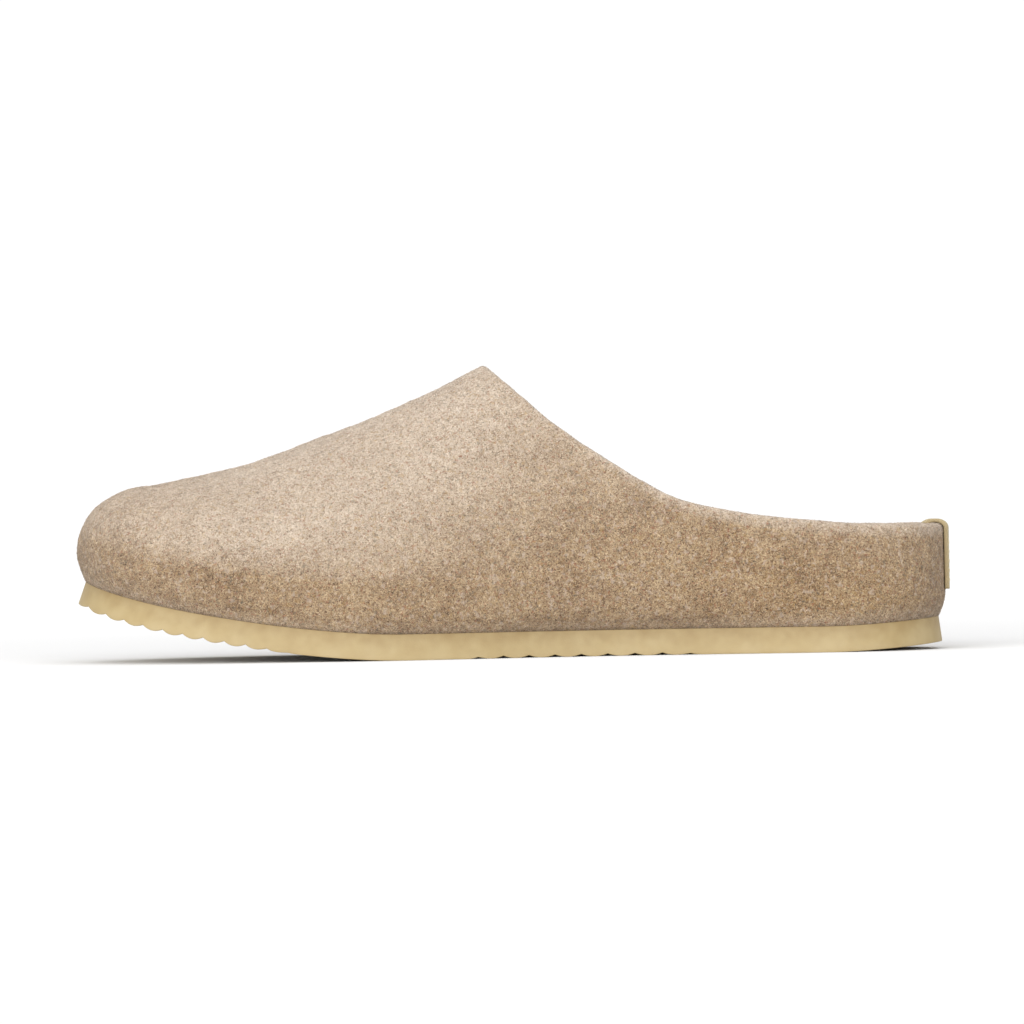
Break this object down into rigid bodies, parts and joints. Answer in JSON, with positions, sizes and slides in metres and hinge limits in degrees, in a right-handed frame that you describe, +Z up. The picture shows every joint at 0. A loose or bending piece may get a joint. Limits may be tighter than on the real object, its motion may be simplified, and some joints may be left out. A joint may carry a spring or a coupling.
{
  "type": "wool clog slipper",
  "caption": "Slip-on house shoe: a thick felted wool upper with a low open back, a flat ribbed rubber sole, a felt footbed and a leather pull tab at the heel.",
  "frame": {"origin": "on the floor, under the middle of the slipper's box", "axes": "+X from toe to heel, +Y towards the wearer's outer (lateral) side, +Z up; the picture looks along +Y at the inner side"},
  "size_m": [0.2858, 0.1064, 0.0948],
  "materials": {
    "felt": "matte, heathered oatmeal wool felt with a short nap",
    "lining": "matte, pressed wool felt",
    "rubber": "smooth satin natural rubber, cream yellow",
    "leather": "satin natural leather with pale cut edges"
  },
  "bodies": {
    "root": {"upper": "felt", "insole": "lining", "sole": "rubber", "pull_tab": "leather"}
  },
  "joints": []
}
